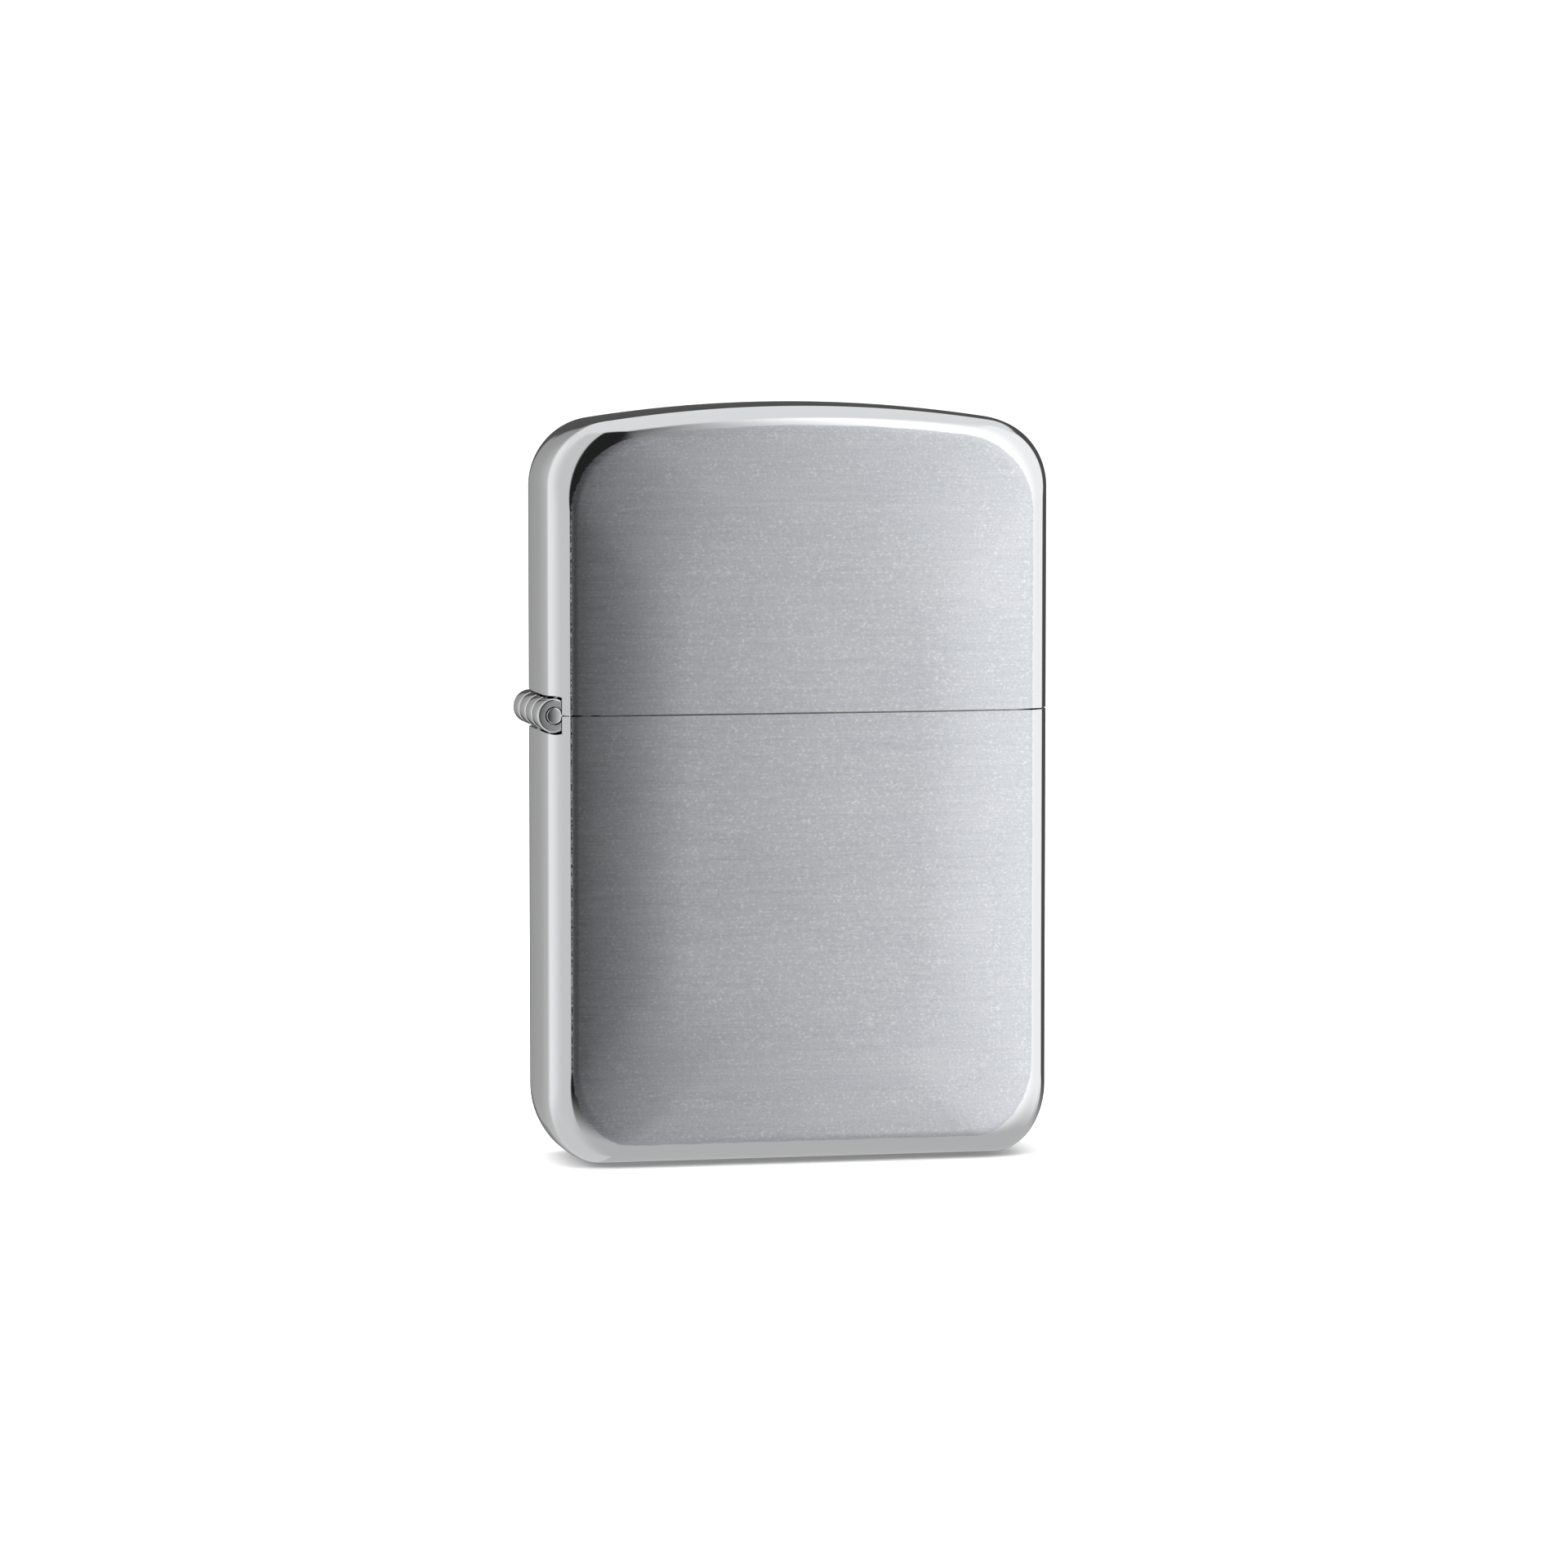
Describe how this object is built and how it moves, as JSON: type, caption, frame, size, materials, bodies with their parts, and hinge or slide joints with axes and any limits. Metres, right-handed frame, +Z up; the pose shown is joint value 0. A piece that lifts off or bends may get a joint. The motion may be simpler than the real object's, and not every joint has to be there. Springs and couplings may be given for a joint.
{
  "type": "windproof lighter",
  "caption": "Pocket petrol lighter with a hinged lid, brushed flat faces, polished rounded edges and an insert with windscreen, striker wheel, cam, wick and flint feed.",
  "frame": {"origin": "middle of the flat base of the lower case", "axes": "+Z up along the height, X across the width with the hinge at -X, +Y towards the back"},
  "size_m": [0.0387, 0.0128, 0.056],
  "materials": {
    "case_chrome": "chrome plate, brushed on the flat faces and polished round the edges",
    "hinge_chrome": "polished chrome plate",
    "insert_steel": "pressed stainless sheet, satin",
    "wheel_steel": "hardened steel, cross-cut teeth",
    "spring_steel": "spring temper",
    "brass": "drawn and turned brass",
    "flint": "matt sintered ferrocerium",
    "wick_cotton": "braided cotton",
    "cotton_packing": "loose rayon packing",
    "felt": "pressed felt"
  },
  "bodies": {
    "case": {"case_bottom": "case_chrome", "hinge_leaf_bottom": "hinge_chrome", "hinge_pin": "hinge_chrome", "insert_tank": "insert_steel", "chimney": "insert_steel", "wheel_rivet": "insert_steel", "cam_rivet": "insert_steel", "cam_spring": "spring_steel", "cam_spring_rivet": "insert_steel", "flint_tube": "brass", "flint_screw": "brass", "flint_spring": "spring_steel", "wick": "wick_cotton", "felt_pad": "felt", "cotton_pad_1": "cotton_packing", "cotton_pad_2": "cotton_packing", "cotton_pad_3": "cotton_packing", "cotton_pad_4": "cotton_packing", "cotton_pad_5": "cotton_packing", "cotton_pad_6": "cotton_packing"},
    "lid": {"case_lid": "case_chrome", "hinge_leaf_lid": "hinge_chrome"},
    "wheel": {"striker_wheel": "wheel_steel"},
    "cam": {"cam_lever": "insert_steel"},
    "flint_follower": {"flint": "flint", "flint_spring_tip": "brass"}
  },
  "joints": [
    {"name": "lid_open", "type": "hinge", "parent": "case", "child": "lid", "pos_m": [-0.0185, 0, 0.0333], "axis": [0, -1, 0], "range_deg": [0, 130]},
    {"name": "cam_swing", "type": "hinge", "parent": "case", "child": "cam", "pos_m": [-0.0116, 0, 0.0386], "axis": [0, -1, 0], "range_deg": [0, 52.5]},
    {"name": "striker_spin", "type": "hinge", "parent": "case", "child": "wheel", "pos_m": [0.0105, 0, 0.0409], "axis": [0, 1, 0], "continuous": true},
    {"name": "flint_feed", "type": "slide", "parent": "case", "child": "flint_follower", "axis": [0, 0, 1], "range_m": [-0.003, 0], "stiffness_N_per_m": 60, "springref_m": 0.01, "deforming": ["flint_spring"]}
  ],
  "couplings": [
    {"joint": "cam_swing", "follows": "lid_open", "ratio": 0.4}
  ]
}
